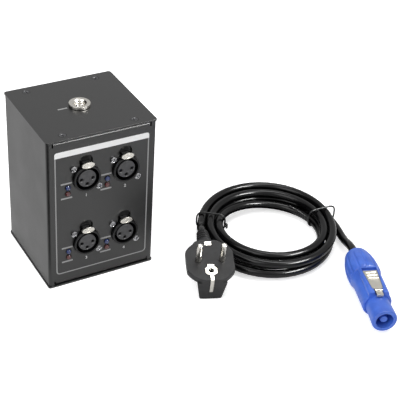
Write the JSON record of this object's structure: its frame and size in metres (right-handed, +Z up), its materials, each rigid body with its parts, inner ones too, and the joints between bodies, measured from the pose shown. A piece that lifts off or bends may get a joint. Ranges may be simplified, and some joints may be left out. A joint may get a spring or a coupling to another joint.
{
  "type": "dmx splitter",
  "caption": "Folded-steel signal splitter box with latching round sockets, status lights and a threaded rigging boss, and its detachable coiled mains lead.",
  "frame": {"origin": "middle of the box's underside, on the surface that it stands on", "axes": "+Z up through the rigging boss, -Y towards the viewer of the four outputs, +X to that viewer's right, where the lead lies"},
  "size_m": [0.2634, 0.2537, 0.1375],
  "materials": {
    "powder_coat": "satin black powder coat with a fine grain",
    "black_plastic": "matt moulded",
    "grey_plastic": "matt moulded",
    "nickel": "satin nickel plate",
    "black_steel": "blackened",
    "blue_nylon": "satin moulded",
    "cord_pvc": "smooth, slightly shiny",
    "plug_rubber": "matt moulded",
    "circuit_board": "green solder mask",
    "light_lens": "clear tinted lens"
  },
  "bodies": {
    "box": {"housing_sleeve": "powder_coat", "top_plate": "powder_coat", "underside_plate": "powder_coat", "threaded_boss": "nickel", "top_screw_1": "black_steel", "top_screw_2": "black_steel", "top_screw_3": "black_steel", "top_screw_4": "black_steel", "output_1_shell": "black_plastic", "output_1_insert": "grey_plastic", "output_1_screw_1": "nickel", "output_1_screw_2": "nickel", "output_1_lights": "light_lens", "output_2_shell": "black_plastic", "output_2_insert": "grey_plastic", "output_2_screw_1": "nickel", "output_2_screw_2": "nickel", "output_2_lights": "light_lens", "output_3_shell": "black_plastic", "output_3_insert": "grey_plastic", "output_3_screw_1": "nickel", "output_3_screw_2": "nickel", "output_3_lights": "light_lens", "output_4_shell": "black_plastic", "output_4_insert": "grey_plastic", "output_4_screw_1": "nickel", "output_4_screw_2": "nickel", "output_4_lights": "light_lens", "through_shell": "black_plastic", "through_insert": "grey_plastic", "input_shell": "black_plastic", "input_pins": "nickel", "power_inlet": "blue_nylon", "output_board": "circuit_board", "input_board": "circuit_board", "power_board": "circuit_board", "power_transformer": "black_steel", "power_capacitor": "black_plastic", "plug_body": "plug_rubber", "plug_pin_1": "nickel", "plug_pin_2": "nickel", "plug_earth_clip": "nickel", "plug_strain_relief": "plug_rubber", "lead_to_plug": "cord_pvc", "lead_coil": "cord_pvc", "lead_to_connector": "cord_pvc", "lead_tie_left": "black_plastic", "lead_tie_right": "black_plastic", "connector_cap": "blue_nylon", "connector_housing": "blue_nylon", "connector_core": "blue_nylon"},
    "output_1_tab": {"output_1_push_tab": "nickel"},
    "output_2_tab": {"output_2_push_tab": "nickel"},
    "output_3_tab": {"output_3_push_tab": "nickel"},
    "output_4_tab": {"output_4_push_tab": "nickel"},
    "through_tab": {"through_push_tab": "nickel"},
    "latch": {"connector_latch": "nickel"}
  },
  "joints": [
    {"name": "output_1_push", "type": "slide", "parent": "box", "child": "output_1_tab", "axis": [0, 1, 0], "range_m": [0, 0.0018], "stiffness_N_per_m": 400, "springref_m": -0.001},
    {"name": "output_2_push", "type": "slide", "parent": "box", "child": "output_2_tab", "axis": [0, 1, 0], "range_m": [0, 0.0018], "stiffness_N_per_m": 400, "springref_m": -0.001},
    {"name": "output_3_push", "type": "slide", "parent": "box", "child": "output_3_tab", "axis": [0, 1, 0], "range_m": [0, 0.0018], "stiffness_N_per_m": 400, "springref_m": -0.001},
    {"name": "output_4_push", "type": "slide", "parent": "box", "child": "output_4_tab", "axis": [0, 1, 0], "range_m": [0, 0.0018], "stiffness_N_per_m": 400, "springref_m": -0.001},
    {"name": "through_push", "type": "slide", "parent": "box", "child": "through_tab", "axis": [0, -1, 0], "range_m": [0, 0.0018], "stiffness_N_per_m": 400, "springref_m": -0.001},
    {"name": "latch_slide", "type": "slide", "parent": "box", "child": "latch", "axis": [0.342, 0.9397, 0], "range_m": [0, 0.003], "stiffness_N_per_m": 400, "springref_m": -0.001}
  ]
}
